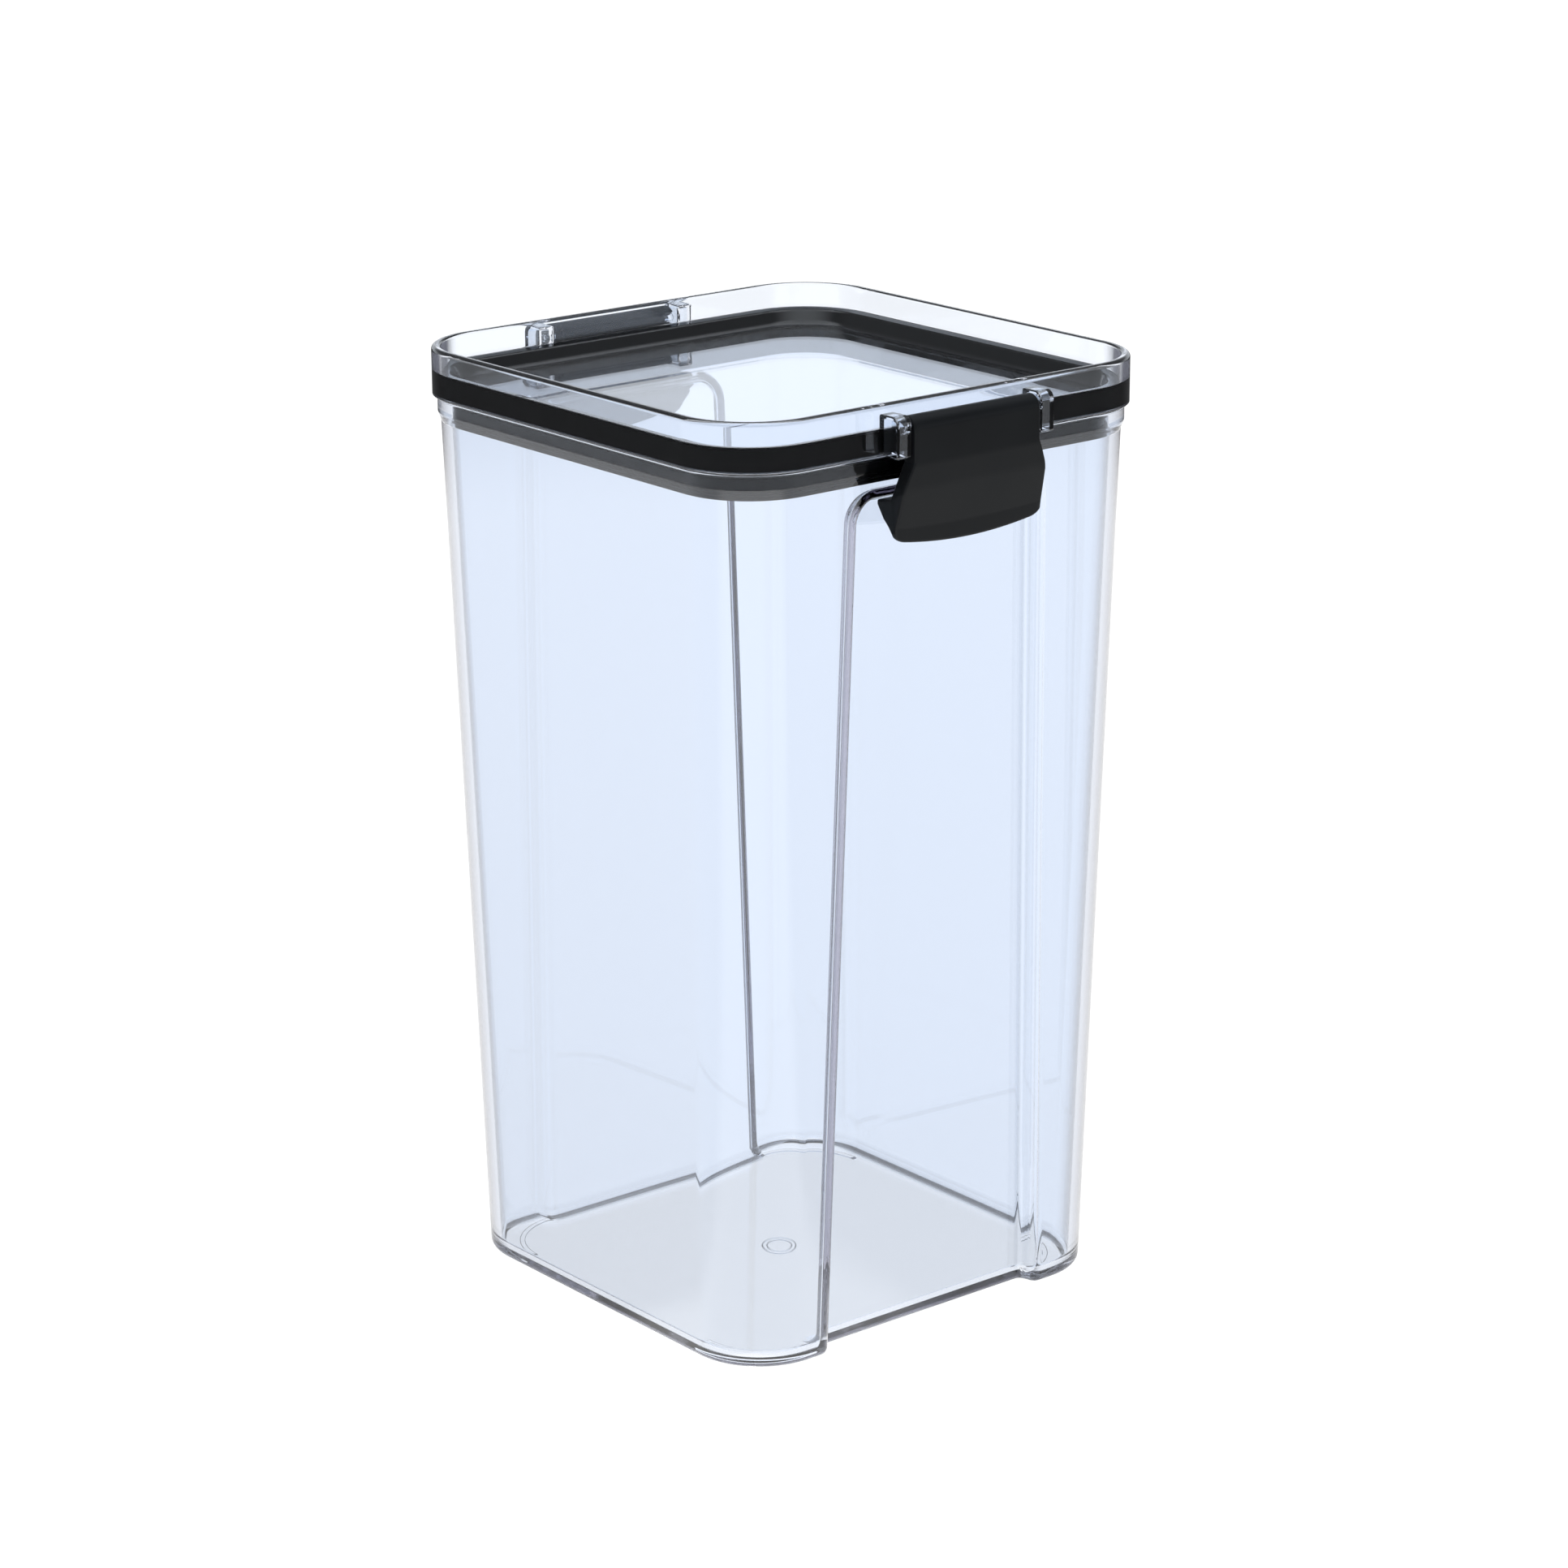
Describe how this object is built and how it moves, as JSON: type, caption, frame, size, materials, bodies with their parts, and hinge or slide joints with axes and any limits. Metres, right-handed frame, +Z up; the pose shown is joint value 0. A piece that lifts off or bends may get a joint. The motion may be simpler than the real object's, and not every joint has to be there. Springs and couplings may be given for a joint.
{
  "type": "food canister",
  "caption": "Tall square airtight food canister with a tapered clear body, a clear recessed lid, a black seal and opposed snap latches.",
  "frame": {"origin": "middle of the base, on the surface that the canister stands on", "axes": "+Z up; the front latch is on the -Y face and the rear latch on the +Y face; +X to the right seen from the front latch"},
  "size_m": [0.103, 0.1138, 0.1836],
  "materials": {
    "container_clear": "clear injection-moulded plastic, polished",
    "lid_clear": "clear injection-moulded plastic, polished",
    "gasket_silicone": "black silicone, satin",
    "front_latch_plastic": "black moulded plastic, fine satin",
    "rear_latch_plastic": "black moulded plastic, fine satin"
  },
  "bodies": {
    "container": {"container": "container_clear"},
    "lid": {"lid": "lid_clear", "gasket": "gasket_silicone"},
    "front_latch": {"front_latch": "front_latch_plastic"},
    "rear_latch": {"rear_latch": "rear_latch_plastic"}
  },
  "joints": [
    {"name": "lid_lift", "type": "slide", "parent": "container", "child": "lid", "axis": [0, 0, 1], "range_m": [0, 0.075]},
    {"name": "front_latch_hinge", "type": "hinge", "parent": "lid", "child": "front_latch", "pos_m": [0, -0.05445, 0.1792], "axis": [-1, 0, 0], "range_deg": [0, 120]},
    {"name": "rear_latch_hinge", "type": "hinge", "parent": "lid", "child": "rear_latch", "pos_m": [0, 0.05445, 0.1792], "axis": [1, 0, 0], "range_deg": [0, 120]}
  ]
}
